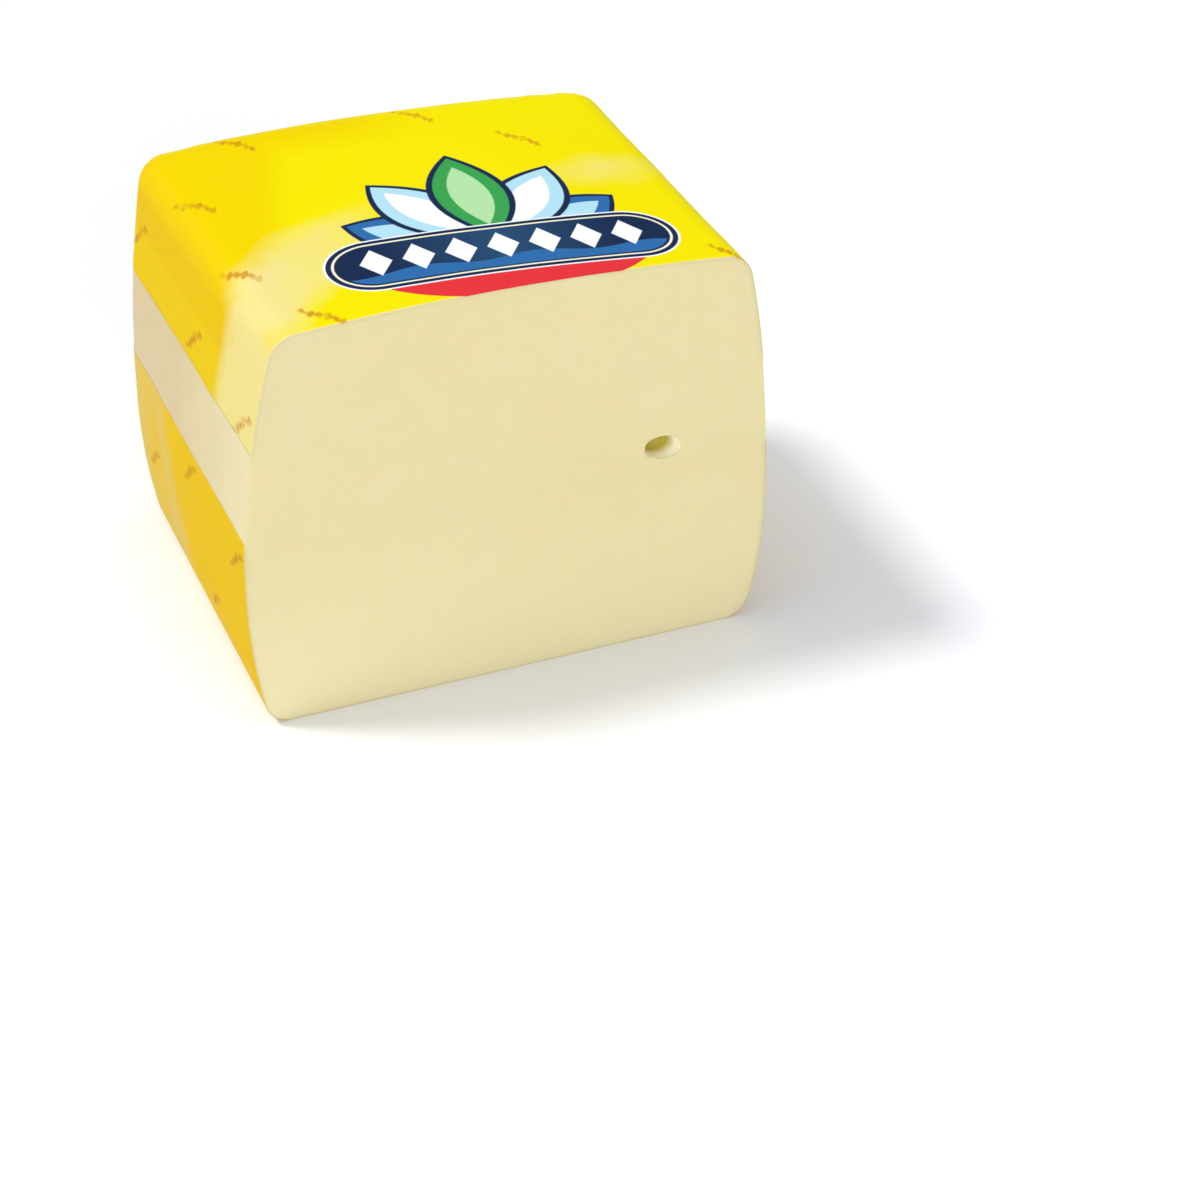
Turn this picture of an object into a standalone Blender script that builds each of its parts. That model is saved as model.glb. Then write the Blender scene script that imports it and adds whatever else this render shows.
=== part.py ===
"""A block cut from a loaf of sliceable cheese, still in its printed yellow film.

Metres, +Z up. The block stands on z = 0 with the origin under its middle. The
knife's flat face looks towards -Y and the loaf's own rounded end towards +Y.
One film covers the top and the upper sides, a second one covers the base and
the lower sides, and a bare band of cheese runs round the block between them.
"""

import math

import bmesh
import bpy
from mathutils import Matrix, Vector

# Size of the block with its films
WIDTH = 0.112
HEIGHT = 0.089
LENGTH = 0.094

# The loaf's section: crowned top, bulging sides, rounded shoulders and feet
CROWN_RISE = 0.0029
SHOULDER_INSET_CUT = 0.0085
SHOULDER_INSET_END = 0.0052
FOOT_INSET = 0.0037
FULLEST_LEFT = 0.033
FULLEST_RIGHT = 0.024
SHOULDER_RADIUS = 0.0062
FOOT_RADIUS = 0.0056

# The loaf's own end, rounded all round and a little domed
END_RADIUS = 0.014
END_SLOPE = math.radians(4)

# Bare band of cheese between the two films
BAND_LOW = 0.0435
BAND_HIGH = 0.0625

# Film wall, the air behind it, and how far a cutter reaches past what it cuts
FILM = 0.0004
GAP = 0.0003
PAST = 0.004

# The one round hole that the knife opened
EYE_PLACE = (0.0315, 0.0475)
EYE_SIZE = (0.0074, 0.0072, 0.0050)
EYE_TILT = math.radians(12)
EYE_DEPTH = 0.0010

# How finely the arcs are divided
LONG_ARC_STEPS = 8
CORNER_STEPS = 5
LENGTH_STEPS = 4
END_STEPS = 7
DOME_RINGS = (0.8, 0.55, 0.3, 0.08)

# Colours as scene-linear red, green, blue
CHEESE_COLOUR = (0.84, 0.73, 0.44)
FILM_COLOUR = (0.94, 0.70, 0.01)


def arc(centre, radius, start, end, steps):
    """Points from one angle to another round a centre, the last one left off."""
    turns = [start + (end - start) * step / steps for step in range(steps)]
    return [
        (centre[0] + radius * math.cos(turn), centre[1] + radius * math.sin(turn))
        for turn in turns
    ]


def side_arc_radius(inset, rise):
    """Radius of the arc that stands upright at the fullest height and leans in by inset over rise."""
    return (inset * inset + rise * rise) / (2 * inset)


def outer_meeting(centre_a, radius_a, centre_b, radius_b):
    """The upper right of the two points where two circles meet."""
    a, b = Vector(centre_a), Vector(centre_b)
    apart = (b - a).length
    along = (radius_a**2 - radius_b**2 + apart**2) / (2 * apart)
    across = math.sqrt(radius_a**2 - along**2)
    way = (b - a).normalized()
    side = Vector((-way.y, way.x))
    points = (a + along * way + across * side, a + along * way - across * side)
    return max(points, key=lambda point: point.x + point.y)


def angle_from(centre, point):
    return math.atan2(point[1] - centre[1], point[0] - centre[0])


def half_outline(fullest, shoulder_inset, inset):
    """Right half of the section, from under the middle to the crown, inset from the outer surface."""
    half = WIDTH / 2
    low_radius = side_arc_radius(FOOT_INSET, fullest)
    high_radius = side_arc_radius(shoulder_inset, HEIGHT - fullest)
    crown_radius = side_arc_radius(CROWN_RISE, half)
    low_centre = (half - low_radius, fullest)
    high_centre = (half - high_radius, fullest)
    crown_centre = (0, HEIGHT - crown_radius)

    foot_reach = math.sqrt((low_radius - FOOT_RADIUS) ** 2 - (fullest - FOOT_RADIUS) ** 2)
    foot = (low_centre[0] + foot_reach, FOOT_RADIUS)
    shoulder = outer_meeting(
        high_centre,
        high_radius - SHOULDER_RADIUS,
        crown_centre,
        crown_radius - SHOULDER_RADIUS,
    )
    foot_angle = angle_from(low_centre, foot)
    side_angle = angle_from(high_centre, shoulder)
    crown_angle = angle_from(crown_centre, shoulder)

    points = [(0, inset)]
    points += arc(foot, FOOT_RADIUS - inset, -math.pi / 2, foot_angle, CORNER_STEPS)
    points += arc(low_centre, low_radius - inset, foot_angle, 0, LONG_ARC_STEPS)
    points += arc(high_centre, high_radius - inset, 0, side_angle, LONG_ARC_STEPS)
    points += arc(shoulder, SHOULDER_RADIUS - inset, side_angle, crown_angle, CORNER_STEPS)
    points += arc(crown_centre, crown_radius - inset, crown_angle, math.pi / 2, LONG_ARC_STEPS)
    return points + [(0, HEIGHT - inset)]


def outline(backwards, inset):
    """The whole section, at a share of the length back from the cut."""
    shoulder_inset = SHOULDER_INSET_CUT + (SHOULDER_INSET_END - SHOULDER_INSET_CUT) * backwards
    right = half_outline(FULLEST_RIGHT, shoulder_inset, inset)
    left = half_outline(FULLEST_LEFT, shoulder_inset, inset)
    return right + [(-x, z) for x, z in left[-2:0:-1]]


def shrunk(points, across, upright):
    """The outline made smaller towards the middle of the section."""
    return [(x * across, HEIGHT / 2 + (z - HEIGHT / 2) * upright) for x, z in points]


def loaf_rings(inset, overhang):
    """Outlines along the loaf, each with its place on Y, from the cut to the rounded end."""
    dome = math.tan(END_SLOPE) * (WIDTH / 2 - END_RADIUS) / 2
    round_start = LENGTH / 2 - dome - END_RADIUS * math.cos(END_SLOPE)
    rings = []
    if overhang:
        rings.append((-LENGTH / 2 - overhang, outline(0, inset)))
    for step in range(LENGTH_STEPS):
        y = -LENGTH / 2 + (round_start + LENGTH / 2) * step / LENGTH_STEPS
        rings.append((y, outline((y + LENGTH / 2) / LENGTH, inset)))

    for step in range(END_STEPS + 1):
        turn = (math.pi / 2 - END_SLOPE) * step / END_STEPS
        drawn_in = END_RADIUS - (END_RADIUS - inset) * math.cos(turn)
        y = round_start + (END_RADIUS - inset) * math.sin(turn)
        across = (WIDTH / 2 - drawn_in) / (WIDTH / 2 - inset)
        upright = (HEIGHT / 2 - drawn_in) / (HEIGHT / 2 - inset)
        rings.append((y, shrunk(outline((y + LENGTH / 2) / LENGTH, inset), across, upright)))

    edge_y, edge = rings[-1]
    for share in DOME_RINGS:
        rings.append((edge_y + dome * (1 - share**2), shrunk(edge, share, share)))
    return rings


def new_object(name, mesh, collection):
    data = bpy.data.meshes.new(name)
    mesh.to_mesh(data)
    mesh.free()
    made = bpy.data.objects.new(name, data)
    collection.objects.link(made)
    return made


def loaf(name, collection, inset=0.0, overhang=0.0):
    """The loaf as a closed solid, inset from its outer surface."""
    mesh = bmesh.new()
    rings = [
        [mesh.verts.new((x, y, z)) for x, z in points]
        for y, points in loaf_rings(inset, overhang)
    ]
    for ring, following in zip(rings, rings[1:]):
        for here in range(len(ring)):
            after = (here + 1) % len(ring)
            mesh.faces.new((ring[here], ring[after], following[after], following[here]))
    mesh.faces.new(rings[0])
    mesh.faces.new(rings[-1])
    bmesh.ops.recalc_face_normals(mesh, faces=mesh.faces)
    return new_object(name, mesh, collection)


def layer(name, collection, low, high):
    """A box wider and longer than the block, between two heights."""
    mesh = bmesh.new()
    bmesh.ops.create_cube(mesh, size=1)
    size = Vector((WIDTH + 2 * PAST, LENGTH + 4 * PAST, high - low))
    bmesh.ops.scale(mesh, verts=mesh.verts, vec=size)
    bmesh.ops.translate(mesh, verts=mesh.verts, vec=(0, 0, (low + high) / 2))
    return new_object(name, mesh, collection)


def combine(target, operation, other):
    """A live Boolean on the target, with the other object as its operand."""
    step = target.modifiers.new(other.name, "BOOLEAN")
    step.operation = operation
    step.solver = "EXACT"
    step.object = other


def sleeve(name, cutters, low, high, inset):
    """Everything between two heights that lies outside the loaf's inset surface."""
    around = layer(name, cutters, low, high)
    combine(around, "DIFFERENCE", loaf(name + "_core", cutters, inset, PAST))
    return around


def eye(cutters):
    """The round hole's ellipsoid, its middle a little behind the cut."""
    mesh = bmesh.new()
    bmesh.ops.create_uvsphere(mesh, u_segments=24, v_segments=14, radius=0.5)
    bmesh.ops.scale(mesh, verts=mesh.verts, vec=EYE_SIZE)
    hole = new_object("eye", mesh, cutters)
    hole.location = (EYE_PLACE[0], -LENGTH / 2 + EYE_DEPTH, EYE_PLACE[1])
    hole.rotation_euler = (0, EYE_TILT, 0)
    return hole


def material(name, colour, roughness, coat):
    made = bpy.data.materials.new(name)
    made.use_nodes = True
    surface = made.node_tree.nodes["Principled BSDF"]
    surface.inputs["Base Color"].default_value = (*colour, 1)
    surface.inputs["Roughness"].default_value = roughness
    surface.inputs["Coat Weight"].default_value = coat
    return made


def finish(target, surface):
    target.data.materials.append(surface)
    target.data.shade_smooth()


def make_cheese(parts, cutters):
    """The cheese fills the films, and comes out to their outer surface in the bare band."""
    cheese = loaf("cheese", parts)
    behind_film = FILM + GAP
    upper = sleeve("room_for_film_top", cutters, BAND_HIGH, HEIGHT + PAST, behind_film)
    lower = sleeve("room_for_film_bottom", cutters, -PAST, BAND_LOW, behind_film)
    for cutter in (upper, lower, eye(cutters)):
        combine(cheese, "DIFFERENCE", cutter)
    finish(cheese, material("cheese", CHEESE_COLOUR, 0.5, 0.0))


def make_film(name, parts, cutters, low, high, surface):
    """One film: a skin as thick as its wall, over the part of the loaf between two heights."""
    film = loaf(name, parts)
    combine(film, "INTERSECT", sleeve(name + "_wall", cutters, low, high, FILM))
    finish(film, surface)


def collection_named(name):
    made = bpy.data.collections.new(name)
    bpy.context.scene.collection.children.link(made)
    return made


def hide(cutters):
    for cutter in cutters.objects:
        cutter.hide_render = True
        cutter.display_type = "WIRE"


for left_over in list(bpy.data.objects):
    bpy.data.objects.remove(left_over)

block_parts = collection_named("cheese_block")
block_cutters = collection_named("cutters")
yellow_film = material("yellow_film", FILM_COLOUR, 0.25, 0.5)

make_cheese(block_parts, block_cutters)
make_film("film_top", block_parts, block_cutters, BAND_HIGH + GAP, HEIGHT + PAST, yellow_film)
make_film("film_bottom", block_parts, block_cutters, -PAST, BAND_LOW - GAP, yellow_film)
hide(block_cutters)
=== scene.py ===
"""A block cut from a loaf of sliceable cheese, still in its printed yellow film."""

import math

import bmesh
import bpy
import numpy as np
from mathutils import Matrix, Vector, noise
from mathutils.bvhtree import BVHTree


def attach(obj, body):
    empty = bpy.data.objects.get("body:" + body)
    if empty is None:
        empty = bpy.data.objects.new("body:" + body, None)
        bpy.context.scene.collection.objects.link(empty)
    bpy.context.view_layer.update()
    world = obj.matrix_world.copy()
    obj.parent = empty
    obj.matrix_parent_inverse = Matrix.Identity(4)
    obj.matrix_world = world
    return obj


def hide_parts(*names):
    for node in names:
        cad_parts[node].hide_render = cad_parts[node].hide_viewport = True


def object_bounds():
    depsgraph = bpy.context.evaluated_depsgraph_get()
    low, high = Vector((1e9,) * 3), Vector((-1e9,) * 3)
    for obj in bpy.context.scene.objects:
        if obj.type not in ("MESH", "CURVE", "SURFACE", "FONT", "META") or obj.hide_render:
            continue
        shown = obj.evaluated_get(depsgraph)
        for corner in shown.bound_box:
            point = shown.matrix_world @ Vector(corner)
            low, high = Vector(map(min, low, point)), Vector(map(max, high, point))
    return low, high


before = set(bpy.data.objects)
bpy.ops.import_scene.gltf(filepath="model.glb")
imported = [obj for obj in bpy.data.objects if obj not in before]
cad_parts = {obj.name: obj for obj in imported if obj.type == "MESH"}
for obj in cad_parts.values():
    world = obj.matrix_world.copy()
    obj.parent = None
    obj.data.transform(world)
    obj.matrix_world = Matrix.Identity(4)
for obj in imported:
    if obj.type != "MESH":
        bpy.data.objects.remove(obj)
cad_box = [list(corner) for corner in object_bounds()]


# The cheese: the end of a loaf of semi-hard cheese. The mould that it was pressed in gave it a crowned
# top, bulging sides and a rounded end, and a knife cut it square across. The films lie tight on it and
# leave a band round its sides bare.

MM = 0.001
WIDTH = cad_box[1][0] - cad_box[0][0]
HEIGHT = cad_box[1][2]
LENGTH = cad_box[1][1] - cad_box[0][1]
CUT = -LENGTH / 2

CROWN_RISE = 2.9 * MM
SHOULDER_INSET_CUT = 8.5 * MM
SHOULDER_INSET_END = 5.2 * MM
FOOT_INSET = 3.7 * MM
FULLEST_LEFT = 33 * MM
FULLEST_RIGHT = 24 * MM
SHOULDER_RADIUS = 6.2 * MM
FOOT_RADIUS = 5.6 * MM
END_RADIUS = 14 * MM
END_SLOPE = math.radians(4)
ARC_STEPS = 40

CHEESE_INSET = 0.11 * MM
WAVES = 0.3 * MM
WAVES_A_METRE = 38
RIPPLES_A_METRE = 110
KNIFE_WAVES = 0.2 * MM
KNIFE_EDGE = 0.15 * MM
GRID_CUTS = 103
CLOSE = 1e-4
SHARP = math.radians(35)


def lean_radius(inset, rise):
    """Radius of an arc that starts upright and has leant in by inset once it has risen by rise."""
    return (inset**2 + rise**2) / (2 * inset)


def arc(centre, radius, start, end):
    """Points of an arc between two turns about its centre."""
    x, y = centre
    turns = np.linspace(start, end, ARC_STEPS)
    return [(x + radius * math.cos(turn), y + radius * math.sin(turn)) for turn in turns]


def half_section(fullest, shoulder_inset):
    """Right half of the section, from under its middle to the crown, in arcs that run on smoothly."""
    half = WIDTH / 2
    low_radius = lean_radius(FOOT_INSET, fullest)
    high_radius = lean_radius(shoulder_inset, HEIGHT - fullest)
    crown_radius = lean_radius(CROWN_RISE, half)
    low = (half - low_radius, fullest)
    high = (half - high_radius, fullest)
    crown = (0, HEIGHT - crown_radius)

    from_low = math.sqrt((low_radius - FOOT_RADIUS) ** 2 - (fullest - FOOT_RADIUS) ** 2)
    foot = (low[0] + from_low, FOOT_RADIUS)
    from_high = high_radius - SHOULDER_RADIUS
    from_crown = crown_radius - SHOULDER_RADIUS
    way = Vector(crown) - Vector(high)
    along = (from_high**2 - from_crown**2 + way.length_squared) / (2 * way.length)
    across = math.sqrt(from_high**2 - along**2)
    way.normalize()
    shoulder = Vector(high) + along * way + across * Vector((-way.y, way.x))

    foot_turn = math.atan2(foot[1] - low[1], foot[0] - low[0])
    side_turn = math.atan2(shoulder.y - high[1], shoulder.x - high[0])
    crown_turn = math.atan2(shoulder.y - crown[1], shoulder.x - crown[0])
    return (
        [(x, 0) for x in np.linspace(0, foot[0], ARC_STEPS)]
        + arc(foot, FOOT_RADIUS, -math.pi / 2, foot_turn)
        + arc(low, low_radius, foot_turn, 0)
        + arc(high, high_radius, 0, side_turn)
        + arc(shoulder, SHOULDER_RADIUS, side_turn, crown_turn)
        + arc(crown, crown_radius, crown_turn, math.pi / 2)
    )


def section(shoulder_inset):
    """The whole section as turns about its middle and the reach in each direction."""
    right = half_section(FULLEST_RIGHT, shoulder_inset)
    left = [(-x, z) for x, z in reversed(half_section(FULLEST_LEFT, shoulder_inset))]
    across, up = np.array(right + left).T
    up = up - HEIGHT / 2
    return np.unwrap(np.arctan2(up, across)), np.hypot(across, up)


section_at_cut = section(SHOULDER_INSET_CUT)
section_at_end = section(SHOULDER_INSET_END)

DOME = math.tan(END_SLOPE) * (WIDTH / 2 - END_RADIUS) / 2
ROUND_START = LENGTH / 2 - DOME - END_RADIUS * math.cos(END_SLOPE)
STRAIGHT = ROUND_START - CUT
ROUNDING = END_RADIUS * (math.pi / 2 - END_SLOPE)
FLAT_END = WIDTH / 2 - END_RADIUS


def along_the_loaf(distance):
    """The y of a point this far over the surface from the cut, and how much of the section is left."""
    turn = min(max(distance - STRAIGHT, 0), ROUNDING) / END_RADIUS
    drawn_in = END_RADIUS * (1 - math.cos(turn))
    share = 1 - max(distance - STRAIGHT - ROUNDING, 0) / FLAT_END
    y = CUT + min(distance, STRAIGHT) + END_RADIUS * math.sin(turn) + DOME * (1 - share**2)
    return y, share * (1 - 2 * drawn_in / WIDTH), share * (1 - 2 * drawn_in / HEIGHT)


def on_the_loaf(u, v, w):
    """Where a point of a cube, -1 to 1, lies on the loaf: its front on the cut, its back on the end."""
    outwards = max(abs(u), abs(w))
    turn = math.atan2(w * HEIGHT, u * WIDTH)
    if turn < -math.pi / 2:
        turn += 2 * math.pi
    distance = (v + 1) / 2 * (STRAIGHT + ROUNDING / 2)
    if v > 1 - CLOSE:
        distance += (1 - outwards) * (ROUNDING / 2 + FLAT_END)
    y, across, upright = along_the_loaf(distance)
    if v < CLOSE - 1:
        across = upright = outwards
    backwards = (y - CUT) / LENGTH
    at_cut = np.interp(turn, *section_at_cut)
    at_end = np.interp(turn, *section_at_end)
    reach = at_cut * (1 - backwards) + at_end * backwards
    return Vector((reach * math.cos(turn) * across, y, HEIGHT / 2 + reach * math.sin(turn) * upright))


def progress(value, none, full):
    """How far a number has come from none to full, as 0 to 1."""
    return min(max((value - none) / (full - none), 0), 1)


def waves(place):
    """How far the surface lies in from the mould's shape: long shallow waves, none where it stands."""
    wave = 0.5 + 0.6 * noise.noise(place * WAVES_A_METRE)
    wave += 0.16 * noise.noise(place * RIPPLES_A_METRE + Vector((3, 7, 1)))
    return WAVES * min(max(wave, 0.1), 1) * progress(place.z, 6 * MM, 20 * MM)


def sunk(place, depth):
    """A point of the surface moved in towards the loaf's middle. The cut stays where it is."""
    x = place.x * (1 - 2 * depth / WIDTH)
    y = place.y - depth * max(0, 2 * place.y / LENGTH) ** 3
    z = HEIGHT / 2 + (place.z - HEIGHT / 2) * (1 - 2 * depth / HEIGHT)
    return Vector((x, y, z))


def loaf_mesh(inset, knife):
    """A finely divided cube laid over the loaf, with its waves. The knife makes the cut uneven."""
    mesh = bmesh.new()
    bmesh.ops.create_cube(mesh, size=2)
    bmesh.ops.subdivide_edges(mesh, edges=mesh.edges, cuts=GRID_CUTS, use_grid_fill=True)
    for corner in mesh.verts:
        on_cut = corner.co.y < CLOSE - 1
        place = on_the_loaf(*corner.co)
        corner.co = sunk(place, inset + waves(place))
        if on_cut:
            corner.co.y += knife(place)
    bmesh.ops.recalc_face_normals(mesh, faces=mesh.faces)
    return mesh


def finished(name, mesh):
    """The bmesh as an object, shaded smooth between its sharp edges."""
    data = bpy.data.meshes.new(name)
    mesh.to_mesh(data)
    mesh.free()
    data.shade_smooth()
    data.set_sharp_from_angle(angle=SHARP)
    piece = bpy.data.objects.new(name, data)
    bpy.context.scene.collection.objects.link(piece)
    return piece


def knife_on_cheese(place):
    """How far the cheese lies behind the cut, in faint strokes of the knife."""
    return KNIFE_WAVES * (0.5 + 0.5 * noise.noise(Vector((place.x * 22, 4, place.z * 26))))


cheese_mesh = loaf_mesh(CHEESE_INSET, knife_on_cheese)
rim = [
    edge
    for edge in cheese_mesh.edges
    if max(corner.co.y for corner in edge.verts) < CUT + 1.1 * KNIFE_WAVES
    and edge.calc_face_angle() > 1
]
bmesh.ops.bevel(
    cheese_mesh, geom=rim, offset=KNIFE_EDGE, segments=2, profile=0.5, affect="EDGES", material=-1
)
cheese_body = finished("cheese_body", cheese_mesh)

# The eye: the one gas bubble of the ripening cheese that the knife opened. It is deeper on its upper
# left, and its right side is a shallow slope. It is cut out of the cheese as a slightly lumpy ball.

EYE_PLACE = Vector((31.7, 0, 46.7)) * MM + Vector((0, CUT, 0))
EYE_HALF_SIZE = (3.2 * MM, 6.0 * MM, 2.6 * MM)
EYE_DIRECTION = Vector((-0.74, 0.66, 0.20))
EYE_TURN = EYE_DIRECTION.to_track_quat("Y", "Z").to_matrix().to_4x4()
EYE_LUMPS = 0.06

eye_mesh = bmesh.new()
bmesh.ops.create_uvsphere(eye_mesh, u_segments=56, v_segments=36, radius=1)
for corner in eye_mesh.verts:
    corner.co *= 1 + EYE_LUMPS * noise.noise(corner.co * 1.7)
bmesh.ops.scale(eye_mesh, verts=eye_mesh.verts, vec=EYE_HALF_SIZE)
bmesh.ops.transform(eye_mesh, verts=eye_mesh.verts, matrix=Matrix.Translation(EYE_PLACE) @ EYE_TURN)
eye = finished("eye", eye_mesh)

opened = cheese_body.modifiers.new("eye", "BOOLEAN")
opened.operation = "DIFFERENCE"
opened.solver = "EXACT"
opened.object = eye
evaluated = cheese_body.evaluated_get(bpy.context.evaluated_depsgraph_get())
cut_mesh = bpy.data.meshes.new_from_object(evaluated)
cheese_body.modifiers.clear()
cheese_body.data = cut_mesh
bpy.data.objects.remove(eye)


class Signal:
    """One output of a material's nodes. Arithmetic on it adds Math nodes."""

    def __init__(self, tree, output):
        self.tree = tree
        self.output = output

    def node(self, kind, settings, sockets, output=0):
        """Adds any node: its settings first, then its sockets' values or links."""
        made = self.tree.nodes.new(kind)
        for name, value in settings.items():
            setattr(made, name, value)
        for name, value in sockets.items():
            feed(self.tree, made.inputs[name], value)
        return Signal(self.tree, made.outputs[output])

    def math(self, operation, first, second=0.0, clamp=False):
        settings = {"operation": operation, "use_clamp": clamp}
        return self.node("ShaderNodeMath", settings, {0: first, 1: second})

    def __add__(self, other):
        return self.math("ADD", self, other)

    def __sub__(self, other):
        return self.math("SUBTRACT", self, other)

    def __rsub__(self, other):
        return self.math("SUBTRACT", other, self)

    def __mul__(self, other):
        return self.math("MULTIPLY", self, other)

    def __truediv__(self, other):
        return self.math("DIVIDE", self, other)

    def __pow__(self, other):
        return self.math("POWER", self, other)

    def __abs__(self):
        return self.math("ABSOLUTE", self)

    __radd__ = __add__
    __rmul__ = __mul__

    def either(self, other):
        return self.math("MAXIMUM", self, other)

    def clamped(self):
        return self.math("ADD", self, 0.0, clamp=True)

    def between(self, under, over):
        """The colour between two others, by this share."""
        mix = {"data_type": "RGBA", "clamp_factor": True}
        return self.node("ShaderNodeMix", mix, {0: self, 6: under, 7: over}, output=2)

    def painted(self, share, colour):
        """This colour, with another over it wherever the share is 1."""
        return share.between(self, colour)

    def axes(self):
        """The three numbers that these coordinates hold."""
        split = self.node("ShaderNodeSeparateXYZ", {}, {0: self})
        return [Signal(self.tree, output) for output in split.output.node.outputs]

    def noise(self, scale, detail=2.0, roughness=0.5, stretch=(1, 1, 1)):
        """Noise of this many grains a metre over these coordinates, about 0.5 on average."""
        stretched = self.node("ShaderNodeVectorMath", {"operation": "MULTIPLY"}, {0: self, 1: stretch})
        sockets = {"Vector": stretched, "Scale": scale, "Detail": detail, "Roughness": roughness}
        return self.node("ShaderNodeTexNoise", {}, sockets)


def feed(tree, socket, value):
    """Gives a socket a link from a signal, or a plain value."""
    if isinstance(value, Signal):
        tree.links.new(value.output, socket)
    elif socket.type == "RGBA":
        socket.default_value = (*value, 1)
    else:
        socket.default_value = value


def new_material(name, constants):
    """A material with the values that are the same all over it, its shader, and the place as a signal."""
    made = bpy.data.materials.new(name)
    made.use_nodes = True
    surface = made.node_tree.nodes["Principled BSDF"]
    for socket, value in constants.items():
        feed(made.node_tree, surface.inputs[socket], value)
    place = made.node_tree.nodes.new("ShaderNodeTexCoord")
    return made, surface, Signal(made.node_tree, place.outputs["Object"])


def in_mm(place):
    """The coordinates across, along and up, in millimetres."""
    return [axis / MM for axis in place.axes()]


def within(field, softness):
    """1 where the field is over zero, 0 where it is under, with a soft edge."""
    return (field / softness + 0.5).clamped()


def ramp(field, none, full):
    """0 where the field has the one value, 1 where it has the other, and straight between."""
    return ((field - none) / (full - none)).clamped()


def hypotenuse(a, b):
    """The distance that two signals at a right angle make."""
    return (a * a + b * b) ** 0.5


# Colours are scene-linear red, green and blue, and the eye's opening is in mm.
PASTE = (0.765, 0.672, 0.368)
PASTE_DEEP = (0.75, 0.650, 0.315)
PASTE_PALE = (0.80, 0.735, 0.47)
PASTE_PAINTED_BOUNCE = (0.88, 0.785, 0.48)
PASTE_AWAY_FROM_CUT = (0.66, 0.52, 0.285)
EYE_PAINTED_SHADE = (0.50, 0.41, 0.055)
EYE_PAINTED_LIGHT = (0.99, 0.93, 0.64)
EYE_MIDDLE = (30.5, 47.5)
EYE_REACH = 7.0

cheese, cheese_surface, place = new_material(
    "cheese_paste",
    {
        "Subsurface Weight": 0.25,
        "Subsurface Radius": (1.0, 0.7, 0.3),
        "Subsurface Scale": 4 * MM,
        "Specular IOR Level": 0.1,
    },
)
across, along, up = in_mm(place)
blotches = place.noise(24, detail=3)
grain = place.noise(130, detail=4)
colour = (((blotches - 0.42) * 2.4).clamped() * 0.5).between(PASTE, PASTE_DEEP)
colour = colour.painted(((grain - 0.52) * 3.0).clamped() * 0.35, PASTE_PALE)
# Painted light: the paste is painted paler towards the bottom, standing in for light bounced up onto the
# lower part of the block.
colour = colour.painted(ramp(up, 42, 4) * 0.6, PASTE_PAINTED_BOUNCE)
from_cut = along - CUT / MM
# The paste turns a darker tan from 3 mm to 48 mm back from the cut.
colour = colour.painted(ramp(from_cut, 3, 48), PASTE_AWAY_FROM_CUT)
from_eye = hypotenuse(across - EYE_MIDDLE[0], up - EYE_MIDDLE[1])
near_eye = within(EYE_REACH - from_eye, 0.5) * within(12 - from_cut, 1)
# Painted light: inside the eye's rim the paste is painted almost white, standing in for the light that
# its shallow slope catches.
colour = colour.painted(near_eye * within(from_cut - 0.22, 0.16), EYE_PAINTED_LIGHT)
# Painted shade: deeper in the eye the paste is painted dark olive, standing in for the shade in the
# hollow.
eye_shade_share = near_eye * ramp(from_cut, 1.3, 2.6)
colour = colour.painted(eye_shade_share, EYE_PAINTED_SHADE)
drag = place.noise(60, detail=3, stretch=(0.25, 1, 7))
fine = place.noise(900, detail=3, roughness=0.6)
bump = {"Height": drag * 0.5 + fine * 0.16, "Distance": 0.12 * MM, "Strength": 0.35}
feed(cheese.node_tree, cheese_surface.inputs["Base Color"], colour)
feed(cheese.node_tree, cheese_surface.inputs["Roughness"], 0.36 + grain * 0.16 - eye_shade_share * 0.15)
feed(cheese.node_tree, cheese_surface.inputs["Normal"], place.node("ShaderNodeBump", {}, bump))

cheese_body.data.materials.clear()
cheese_body.data.materials.append(cheese)
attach(cheese_body, "root")
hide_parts("cheese")


# The films: thin yellow plastic, stretched tight over the loaf and printed with small orange marks. The
# knife cut them with the cheese. The upper one covers the top and the shoulders, and has the label.

FILM_INSET = 0.02 * MM
FILM_WALL = 0.07 * MM
BAND_LOW = 43.4 * MM
BAND_HIGH = 62.7 * MM
EDGE_WAVE = 0.25 * MM
FILM_FRAY = 0.1 * MM
FILM_STANDS_OUT = 0.04 * MM
CREASE = 0.22 * MM
CREASE_MIDDLE = ROUND_START + 8 * MM
CREASE_REACH = 13 * MM
MARK_SLOPE = math.radians(55)

FACINGS = {
    "top": (Vector((0, 0, 1)), Vector((1, 0, 0)), Vector((0, -1, 0))),
    "left": (Vector((-1, 0, 0)), Vector((0, 0, 1)), Vector((0, -1, 0))),
    "right": (Vector((1, 0, 0)), Vector((0, 0, -1)), Vector((0, -1, 0))),
    "base": (Vector((0, 0, -1)), Vector((-1, 0, 0)), Vector((0, -1, 0))),
    "back": (Vector((0, 1, 0)), Vector((1, 0, 0)), Vector((0, 0, 1))),
}


def knife_on_film(place):
    """How far the film's edge lies behind the cut: as far as the cheese does, or a little off it."""
    frayed = FILM_FRAY * noise.noise(place * 60 + Vector((9, 2, 5)))
    return max(0, knife_on_cheese(place) - FILM_STANDS_OUT + frayed)


def crease(place):
    """Height of the fine folds that the tight film has where it turns round the loaf's end."""
    turn = math.atan2(place.z - HEIGHT / 2, place.x)
    folds = 1 - 5 * abs(noise.noise(Vector((turn * 7, place.y * 25, 3))))
    round_the_end = max(0, 1 - abs(place.y - CREASE_MIDDLE) / CREASE_REACH)
    by_a_corner = abs(math.sin(2 * turn)) ** 12
    above_base = progress(place.z, 5 * MM, 11 * MM)
    return CREASE * max(0, folds) * round_the_end * by_a_corner * above_base


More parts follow.
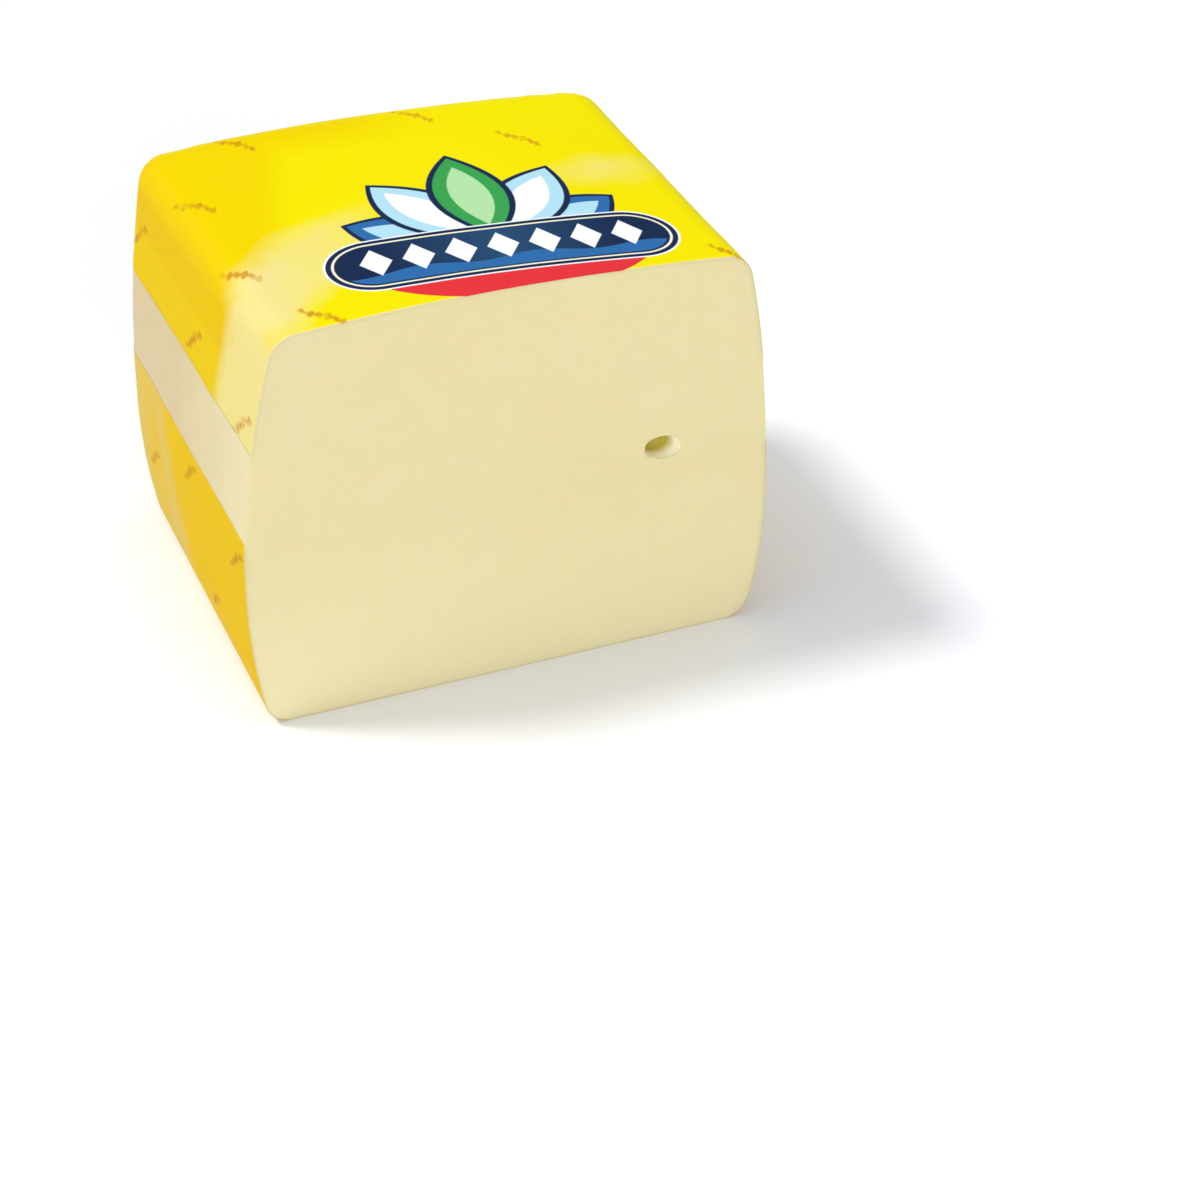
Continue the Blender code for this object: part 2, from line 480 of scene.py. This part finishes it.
def film_mesh(low, high):
    """The film between two heights, open where the knife cut it, its other edges a little wavy."""
    mesh = loaf_mesh(FILM_INSET, knife_on_film)
    mesh.normal_update()
    for corner in mesh.verts:
        corner.co += corner.normal * crease(corner.co)
    front = [face for face in mesh.faces if face.normal.y < -0.9]
    bmesh.ops.delete(mesh, geom=front, context="FACES")
    for height, cleared in ((low, -1), (high, 1)):
        bmesh.ops.bisect_plane(
            mesh,
            geom=mesh.verts[:] + mesh.edges[:] + mesh.faces[:],
            dist=1e-7,
            plane_co=(0, 0, height),
            plane_no=(0, 0, cleared),
            clear_outer=True,
        )
        for corner in mesh.verts:
            if abs(corner.co.z - height) < 1e-6:
                corner.co.z -= cleared * EDGE_WAVE * (0.5 + 0.5 * noise.noise(corner.co * 90))
    return mesh


def stamp_marks(mesh, marks):
    """Gives every face its place, in mm, on the mark nearest to it, as a UV map."""
    tree = BVHTree.FromBMesh(mesh)
    stamps = []
    for facing, place in marks:
        outward, around, forward = FACINGS[facing]
        origin = Vector(place) * MM + outward
        middle, normal, _, _ = tree.ray_cast(origin, -outward)
        along = (around * math.cos(MARK_SLOPE) + forward * math.sin(MARK_SLOPE)).normalized()
        along = (along - along.dot(normal) * normal).normalized()
        stamps.append((middle, along, normal.cross(along)))
    layer = mesh.loops.layers.uv.new("marks")
    for face in mesh.faces:
        centre = face.calc_center_median()
        middle, along, across = min(stamps, key=lambda stamp: (stamp[0] - centre).length_squared)
        for loop in face.loops:
            offset = (loop.vert.co - middle) / MM
            loop[layer].uv = (offset.dot(along), offset.dot(across))


def film(name, low, high, marks, surface):
    """A film as an object, with its marks' places, its thickness and its material."""
    mesh = film_mesh(low, high)
    stamp_marks(mesh, marks)
    piece = finished(name, mesh)
    wall = piece.modifiers.new("wall", "SOLIDIFY")
    wall.thickness = FILM_WALL
    wall.offset = -1
    piece.data.materials.append(surface)
    return piece


GOLD = (0.84, 0.72, 0.002)
GOLD_TONE_AND_SHADE = (0.79, 0.51, 0.001)
GLARE_PAINTED = (0.80, 0.69, 0.26)
TAN_PAINTED_SHEEN_AND_SHADE = (0.68, 0.535, 0.19)
EDGE_CREAM = (0.80, 0.70, 0.36)
MARK_ORANGE = (0.56, 0.22, 0.010)

WANDER = 13 * MM
MARK_HALF_LENGTH = 5.7
GRAIN_LENGTH = 1.9


def painted_glare_corner(x, y, z):
    """The painted glare by the cut: down the upper left side, and from the shoulder in over the top."""
    far_side = within(0.55 * x + 6 - y, 7)
    near_side = within(y - 1.2 * x - 7.8, 10)
    inwards = ramp(x, -12, -32) * 0.74 + ramp(x, -36, -46) * 0.26
    on_top = far_side * near_side * inwards * ramp(z, 81, 86)
    on_side = within(-25 - y, 6) * ramp(x, -44, -49) * ramp(z, 50, 55)
    return on_top.either(on_side)


def painted_glare_spot(x, y, z):
    """A faint painted glare on the right of the top."""
    away = hypotenuse((x - 36) / 14, (y + 4) / 8)
    return ramp(away, 1.05, 0.25) * ramp(z, 79, 84) * 0.55


def painted_sheen_and_shade_low(x, y, z):
    """A faint painted sheen low on the left, where the film turns round the end, and painted shade along
    the foot.
    """
    end = within(y - z * 0.25, 12) * ramp(z, 50, 45)
    foot = ramp(z, 10, 2) * 0.8
    return end.either(foot) * ramp(x, -38, -50) * 0.66


def painted_shade_share(x, y, z):
    """The share of painted shade, as a deeper yellow: most on the sides and the end, some on the left of
    the top.
    """
    left = ramp(y * 0.31 - x, 29, 36)
    rear = ramp(y, 20, 31) * ramp(x, 12, -8)
    end = ramp(y, 34, 42)
    near_the_top = left.either(rear).either(end) * 0.5 + ramp(x, -44, -50) * 0.3
    sides = ramp(z, 82, 74) * 0.8 + ramp(z, 60, 40) * 0.2
    return near_the_top * ramp(z, 72, 80) + sides


def film_material(name, with_label):
    """Gold film with orange marks, with painted shade on its sides and painted glare, sheen and shade in
    pale patches.
    """
    made, surface, place = new_material(name, {"Specular IOR Level": 0.0, "Coat Roughness": 0.16})
    x, y, z = in_mm(place)
    tint = place.noise(14, detail=2)
    # Painted shade: the film is a deeper gold on its sides, its end and the left of the top, where less
    # light falls. The noise tint adds real uneven tone.
    colour = (painted_shade_share(x, y, z) + ((tint - 0.5) * 2).clamped() * 0.2).between(GOLD, GOLD_TONE_AND_SHADE)
    cut_edge = within(CUT / MM + 0.5 - y, 0.25)

    # The painted glare and sheen patches have uneven edges, painted on coordinates that a noise has
    # shifted.
    drift = place.node("ShaderNodeTexNoise", {}, {"Vector": place, "Scale": 55, "Detail": 3}, output=1)
    drift = drift.node("ShaderNodeVectorMath", {"operation": "SUBTRACT"}, {0: drift, 1: (0.5,) * 3})
    reach = {0: drift, 1: (WANDER,) * 3, 2: place}
    x, y, z = in_mm(place.node("ShaderNodeVectorMath", {"operation": "MULTIPLY_ADD"}, reach))
    streaks = place.noise(60, detail=3, stretch=(0.5, 1.3, 0.5))
    patchy = (streaks * 3 - 0.8).clamped()
    # Painted glare: pale patches by the cut and on the right of the top stand in for a bright panel
    # reflected in the film.
    painted_glare = painted_glare_corner(x, y, z).either(painted_glare_spot(x, y, z) * patchy)
    colour = colour.painted(painted_glare * (0.78 + streaks * 0.3), GLARE_PAINTED)
    # Painted sheen and shade: tan low on the left end and along the foot.
    colour = colour.painted(painted_sheen_and_shade_low(x, y, z) * patchy, TAN_PAINTED_SHEEN_AND_SHADE)
    colour = colour.painted(cut_edge * 0.8, EDGE_CREAM)

    # The marks: p runs along a mark and q across it.
    p, q, _ = place.node("ShaderNodeUVMap", {"uv_map": "marks"}, {}).axes()
    bend = q.math("SINE", p * 0.55 + 0.5) * 0.45
    thickness = q.math("SINE", p * 1.9) * 0.3 + 1.25 - abs(p) * 0.12
    rounds = abs(q.math("SINE", (p + q * 0.5) * (math.pi / GRAIN_LENGTH)))
    grains = (rounds * 0.75 + 0.3) * thickness
    stroke = within(grains - 0.05 - abs(q - bend), 0.7) * within(MARK_HALF_LENGTH - abs(p), 0.6)
    worn = (place.noise(330, detail=2) * 2.4 - 0.4).clamped()
    colour = colour.painted(stroke * worn * 0.8, MARK_ORANGE)
    if with_label:
        colour = label(place, colour)

    grain = place.noise(70, detail=3)
    crinkles = place.noise(210, detail=2, stretch=(1, 0.5, 1))
    bump = {"Height": grain + crinkles * 0.3, "Distance": 0.25 * MM, "Strength": 0.25}
    tree = made.node_tree
    feed(tree, surface.inputs["Base Color"], colour)
    feed(tree, surface.inputs["Roughness"], 0.24 + grain * 0.14 + painted_glare * 0.12)
    feed(tree, surface.inputs["Coat Weight"], 0.04 + grain * 0.08)
    feed(tree, surface.inputs["Normal"], place.node("ShaderNodeBump", {}, bump))
    return made


# The label, printed on the upper film in flat inks: a dark oval plaque with a row of diamonds, a fan of
# five petals behind it and a red crescent below it, which the knife cut through.

LABEL_MIDDLE = (3.3 * MM, -31 * MM, 0)
LABEL_TURN = math.radians(-4.6)
INK_EDGE = 0.2
PETAL_EDGE = 0.03
PLAQUE_HALF_LENGTH = 35
PLAQUE_HALF_DEPTH = 9.5
CRESCENT_RADIUS = 21
WAVE_LENGTH = 23
DIAMONDS = 7
DIAMOND_STEP = 8.4
NAVY = (0.012, 0.026, 0.070)
SLATE = (0.022, 0.070, 0.150)
RED = (0.72, 0.036, 0.042)
WHITE = (0.90, 0.92, 0.92)
CREAM = (0.92, 0.85, 0.62)
MID_BLUE = (0.030, 0.140, 0.360)
PALE_BLUE = (0.42, 0.68, 0.78)
GREEN = (0.045, 0.33, 0.075)
PALE_GREEN = (0.42, 0.70, 0.34)

# Each petal's lean in degrees, start, end and half width in mm, ink and heart
PETALS = (
    (58, 4, 33, 8.0, MID_BLUE, PALE_BLUE),
    (-58, 4, 33, 8.0, MID_BLUE, PALE_BLUE),
    (30, 4, 38, 8.2, PALE_BLUE, WHITE),
    (-30, 4, 38, 8.2, PALE_BLUE, WHITE),
    (0, 4, 42, 8.4, GREEN, PALE_GREEN),
)


def pill(a, b, half_length, half_depth):
    """Distance inside the edge of a plaque with round ends."""
    return half_depth - hypotenuse((abs(a) - (half_length - half_depth)).either(0), b)


def petal(a, b, lean, start, end, half_width):
    """How far inside a petal a point is, from 0 at its edge to 1 at its heart."""
    turn = math.radians(lean)
    along = b * math.cos(turn) - a * math.sin(turn)
    across = a * math.cos(turn) + b * math.sin(turn)
    middle = (start + end) / 2
    half = (end - start) / 2
    return 1 - ((along - middle) / half) ** 2 - abs(across) / half_width


def label(place, colour):
    """The film's colour with the label over it. On the label, a runs across and b away from the cut."""
    turned = {
        "Vector": place,
        "Location": LABEL_MIDDLE,
        "Rotation": (0, 0, LABEL_TURN),
        "Scale": (MM,) * 3,
    }
    local = place.node("ShaderNodeMapping", {"vector_type": "TEXTURE"}, turned)
    a, b, _ = local.axes()
    for lean, start, end, half_width, ink, heart in PETALS:
        inside = petal(a, b, lean, start, end, half_width)
        colour = colour.painted(within(inside, PETAL_EDGE), NAVY)
        colour = colour.painted(within(inside - 0.16, PETAL_EDGE), ink)
        colour = colour.painted(within(inside - 0.52, PETAL_EDGE), heart)

    crescent = CRESCENT_RADIUS - hypotenuse(a * 0.68, b - 2)
    colour = colour.painted(within(crescent, INK_EDGE) * within(-1.5 - b, INK_EDGE), RED)
    plaque = pill(a, b, PLAQUE_HALF_LENGTH, PLAQUE_HALF_DEPTH)
    colour = colour.painted(within(plaque + 0.45, INK_EDGE), WHITE)
    colour = colour.painted(within(plaque, INK_EDGE), NAVY)
    colour = colour.painted(within(plaque - 1.6, INK_EDGE) * ramp(abs(a), 24, 0), SLATE)
    colour = colour.painted(within(plaque - 1.1, INK_EDGE) * within(1.6 - plaque, INK_EDGE), CREAM)

    crest = plaque.math("SINE", a * (2 * math.pi / WAVE_LENGTH)) * 0.9
    wave = within(plaque - 2.2, INK_EDGE) * within(crest - 3.6 - b, INK_EDGE)
    colour = colour.painted(wave, MID_BLUE)

    never_negative = a + (DIAMONDS + 1.5) * DIAMOND_STEP
    cell = abs(a.math("MODULO", never_negative, DIAMOND_STEP) - DIAMOND_STEP / 2)
    diamond = 1 - cell / 3.2 - abs(b - 0.9) / 5.2
    row = within(DIAMONDS / 2 * DIAMOND_STEP - abs(a), INK_EDGE)
    return colour.painted(within(diamond, 0.06) * row, WHITE)


# Where the marks are, in mm, as the side of the block that they are on and their place over it
TOP_MARKS = (
    (-46.3, 9.5), (-46.2, -20.7), (-37.2, -43), (24.5, 14.3), (7.3, 31.3), (-31.4, 32), (45.2, -45.5),
)
UPPER_MARKS = [("top", (x, y, 0)) for x, y in TOP_MARKS]
UPPER_MARKS += [("left", (0, y, z)) for y, z in ((-8.9, 67.8), (-40, 66), (30, 72))]
UPPER_MARKS += [("right", (0, y, z)) for y, z in ((-24, 72), (6, 66), (33, 75))]
UPPER_MARKS += [("back", (x, 0, z)) for x, z in ((-32, 68), (-2, 76), (28, 68))]

film_upper = film(
    "film_upper", BAND_HIGH, 2 * HEIGHT, UPPER_MARKS, film_material("printed_film", with_label=True)
)
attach(film_upper, "root")
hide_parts("film_top")


# The lower film: the same plastic and print, stretched round the base and the lower sides, without a
# label. It stops 19 mm below the upper one.

LOWER_MARKS = [("left", (0, y, z)) for y, z in ((-9.5, 38.1), (-40.6, 36.6), (22.1, 23.2), (-18, 12))]
LOWER_MARKS += [("right", (0, y, z)) for y, z in ((-33, 28), (-4, 34), (24, 22), (-14, 10))]
LOWER_MARKS += [("back", (x, 0, z)) for x, z in ((-36, 30), (-8, 22), (22, 34), (8, 8))]
LOWER_MARKS += [("base", (x, y, 0)) for x in (-36, 0, 36) for y in (-34, -4, 26)]

film_lower = film(
    "film_lower", -HEIGHT, BAND_LOW, LOWER_MARKS, film_material("printed_film_base", with_label=False)
)
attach(film_lower, "root")
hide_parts("film_bottom")


# The floor: plain pale paper, far larger than the view. It lies flat under the block and takes its
# shadow.

floor_mesh = bmesh.new()
bmesh.ops.create_grid(floor_mesh, x_segments=2, y_segments=2, size=4)
floor = finished("floor", floor_mesh)
paper, paper_surface, place = new_material("pale_floor", {"Specular IOR Level": 0.2})
soft = (place.noise(3) * 0.2).between((0.925, 0.925, 0.925), (0.905, 0.905, 0.905))
feed(paper.node_tree, paper_surface.inputs["Base Color"], soft)
feed(paper.node_tree, paper_surface.inputs["Roughness"], 0.7 + place.noise(40) * 0.1)
floor.data.materials.append(paper)


# The light: a soft key from the left and a little behind, with a weaker and wider halo round it, a
# broad fill from the front, a panel overhead and a weak one behind on the right. A low one behind on the
# left shines in the shoulder. The room is white.

TARGET = Vector((0, 0, HEIGHT / 2))
KEY_DIRECTION = (-52, 25, 88)
CEILING_COLOUR = (0.90, 0.965, 1.12)
WALL_COLOUR = (0.99, 0.99, 1)
ROOM_LIGHT = 0.135


def lamp(name, kind, towards, distance, size, energy):
    """A lamp at this distance from the block. A sun's size is its angle, a panel's its width."""
    data = bpy.data.lights.new(name, kind)
    data.energy = energy
    if kind == "SUN":
        data.angle = size
    else:
        data.shape = "DISK"
        data.size = size
    lit = bpy.data.objects.new(name, data)
    away = Vector(towards).normalized()
    lit.location = TARGET + away * distance
    lit.rotation_euler = away.to_track_quat("Z", "Y").to_euler()
    bpy.context.scene.collection.objects.link(lit)


lamp("key", "SUN", KEY_DIRECTION, 1.5, math.radians(12), 1.68)
lamp("halo", "SUN", KEY_DIRECTION, 1.5, math.radians(55), 0.4)
lamp("fill", "AREA", (-7, -80, 34), 1.6, 1.1, 11)
lamp("overhead", "AREA", (0, 10, 100), 1.6, 1.1, 2.1)
lamp("rim", "AREA", (75, 45, 50), 1.6, 1.0, 1.5)
lamp("shine", "AREA", (-40, 85, 36), 1.6, 0.6, 0.8)

world = bpy.data.worlds.new("studio")
world.use_nodes = True
background = world.node_tree.nodes["Background"]
sky = world.node_tree.nodes.new("ShaderNodeTexCoord")
sky = Signal(world.node_tree, sky.outputs["Generated"])
height = sky.axes()[2]
horizon_glow = ramp(height, 0.28, 0.14) * 0.3 + ramp(height, 0.07, 0.04) * 0.42
overhead_glow = ramp(height, 0.55, 0.85) * 0.45
white_wall = ramp(height, 0.4, 0.1).between(CEILING_COLOUR, WALL_COLOUR)
feed(world.node_tree, background.inputs["Color"], white_wall)
feed(world.node_tree, background.inputs["Strength"], ROOM_LIGHT + horizon_glow + overhead_glow)
bpy.context.scene.world = world
bpy.context.scene.view_settings.view_transform = "Standard"


# The camera: it stands where the photograph was taken from, in front of the block, to its left and
# above. Its lens, place and turn were fitted to the block's outlines.

CAMERA_PLACE = (-158.6 * MM, -429.86 * MM, 310.35 * MM)
CAMERA_HEADING = math.radians(-24.872)
CAMERA_LOOKS_DOWN = math.radians(35.226)
CAMERA_ROLL = math.radians(2.213)

camera_data = bpy.data.cameras.new("camera")
camera_data.lens = 74.95
camera_data.sensor_width = 36
camera = bpy.data.objects.new("camera", camera_data)
aim = Matrix.Rotation(CAMERA_HEADING, 4, "Z") @ Matrix.Rotation(math.pi / 2 - CAMERA_LOOKS_DOWN, 4, "X")
aim @= Matrix.Rotation(CAMERA_ROLL, 4, "Z")
camera.matrix_world = Matrix.Translation(CAMERA_PLACE) @ aim
bpy.context.scene.collection.objects.link(camera)
bpy.context.scene.camera = camera
